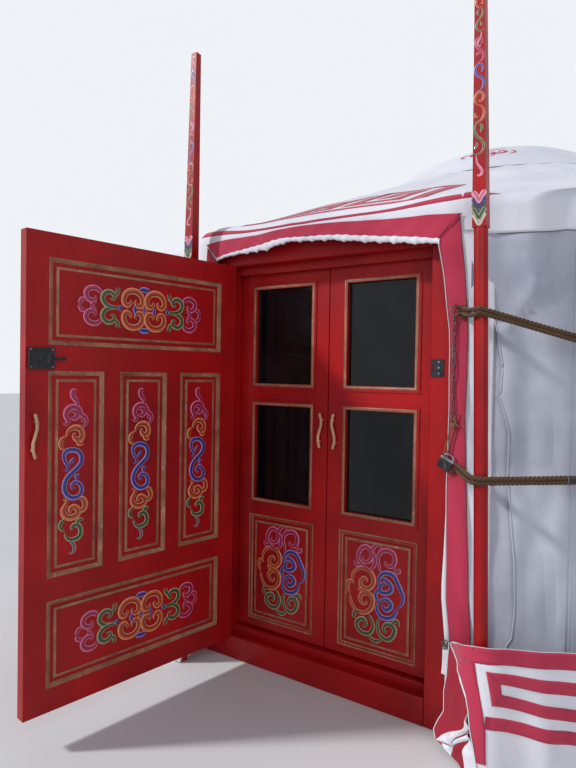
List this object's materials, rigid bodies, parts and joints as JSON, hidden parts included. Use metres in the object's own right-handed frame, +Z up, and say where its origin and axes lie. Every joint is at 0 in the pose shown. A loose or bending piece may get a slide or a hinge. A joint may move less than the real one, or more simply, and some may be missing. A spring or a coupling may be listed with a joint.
{
  "type": "yurt with a painted door",
  "caption": "Round felt yurt with lattice wall, crown ring, glazed inner doors and an open painted outer door.",
  "frame": {"origin": "centre of the yurt on the ground, at the floor's underside", "axes": "+Z up, -Y out through the door, +X to the right of someone looking at the door"},
  "size_m": [5.8325, 6.7367, 3.15],
  "materials": {
    "red_wood": "gloss paint, worn",
    "bronze_wood": "metallic bronze paint",
    "iron": "black, rubbed",
    "raw_wood": "bare, handled smooth",
    "pane_glass": "clear",
    "orange_wood": "orange paint",
    "white_canvas": "white cotton canvas over felt",
    "crimson_canvas": "crimson cotton border",
    "rope_hair": "dark braided hair rope",
    "floor_boards": "oiled boards"
  },
  "bodies": {
    "yurt": {"floor": "floor_boards", "sill": "red_wood", "left_jamb": "red_wood", "right_jamb": "red_wood", "lintel": "red_wood", "keeper_plate": "iron", "hinge_pins": "iron", "lattice_1": "orange_wood", "lattice_2": "orange_wood", "lattice_3": "orange_wood", "lattice_4": "orange_wood", "lattice_5": "orange_wood", "wall_cover_1": "white_canvas", "wall_cover_2": "white_canvas", "wall_cover_3": "white_canvas", "wall_cover_4": "white_canvas", "wall_cover_5": "white_canvas", "wall_cover_6": "white_canvas", "roof_poles": "orange_wood", "crown_ring": "orange_wood", "crown_spokes": "orange_wood", "left_crown_post": "orange_wood", "right_crown_post": "orange_wood", "roof_cover_front": "white_canvas", "roof_cover_right": "white_canvas", "roof_cover_back": "white_canvas", "roof_cover_left": "white_canvas", "crown_cover": "white_canvas", "door_flap": "crimson_canvas", "left_skirt_front": "white_canvas", "right_skirt_front": "white_canvas", "skirt": "white_canvas", "left_painted_pole": "red_wood", "right_painted_pole": "red_wood", "upper_rope": "rope_hair", "lower_rope": "rope_hair", "ring_and_chain": "iron", "lock_loop": "rope_hair", "padlock": "iron"},
    "outer_leaf": {"outer_door": "red_wood", "outer_door_mouldings": "bronze_wood", "bolt_case": "iron", "outer_door_handle": "raw_wood"},
    "door_bolt": {"bolt": "iron"},
    "inner_left_leaf": {"inner_left_door": "red_wood", "inner_left_glass": "pane_glass", "inner_left_handle": "raw_wood"},
    "inner_right_leaf": {"inner_right_door": "red_wood", "inner_right_glass": "pane_glass", "inner_right_handle": "raw_wood"}
  },
  "joints": [
    {"name": "outer_door_hinge", "type": "hinge", "parent": "yurt", "child": "outer_leaf", "pos_m": [-0.499, -2.835, 1], "axis": [0, 0, 1], "range_deg": [-12, 99]},
    {"name": "bolt_slide", "type": "slide", "parent": "outer_leaf", "child": "door_bolt", "axis": [-0.1564, -0.9877, 0], "range_m": [0, 0.022]},
    {"name": "inner_left_hinge", "type": "hinge", "parent": "yurt", "child": "inner_left_leaf", "pos_m": [-0.4875, -2.697, 1], "axis": [0, 0, 1], "range_deg": [0, 95]},
    {"name": "inner_right_hinge", "type": "hinge", "parent": "yurt", "child": "inner_right_leaf", "pos_m": [0.4875, -2.697, 1], "axis": [0, 0, 1], "range_deg": [-95, 0]}
  ]
}
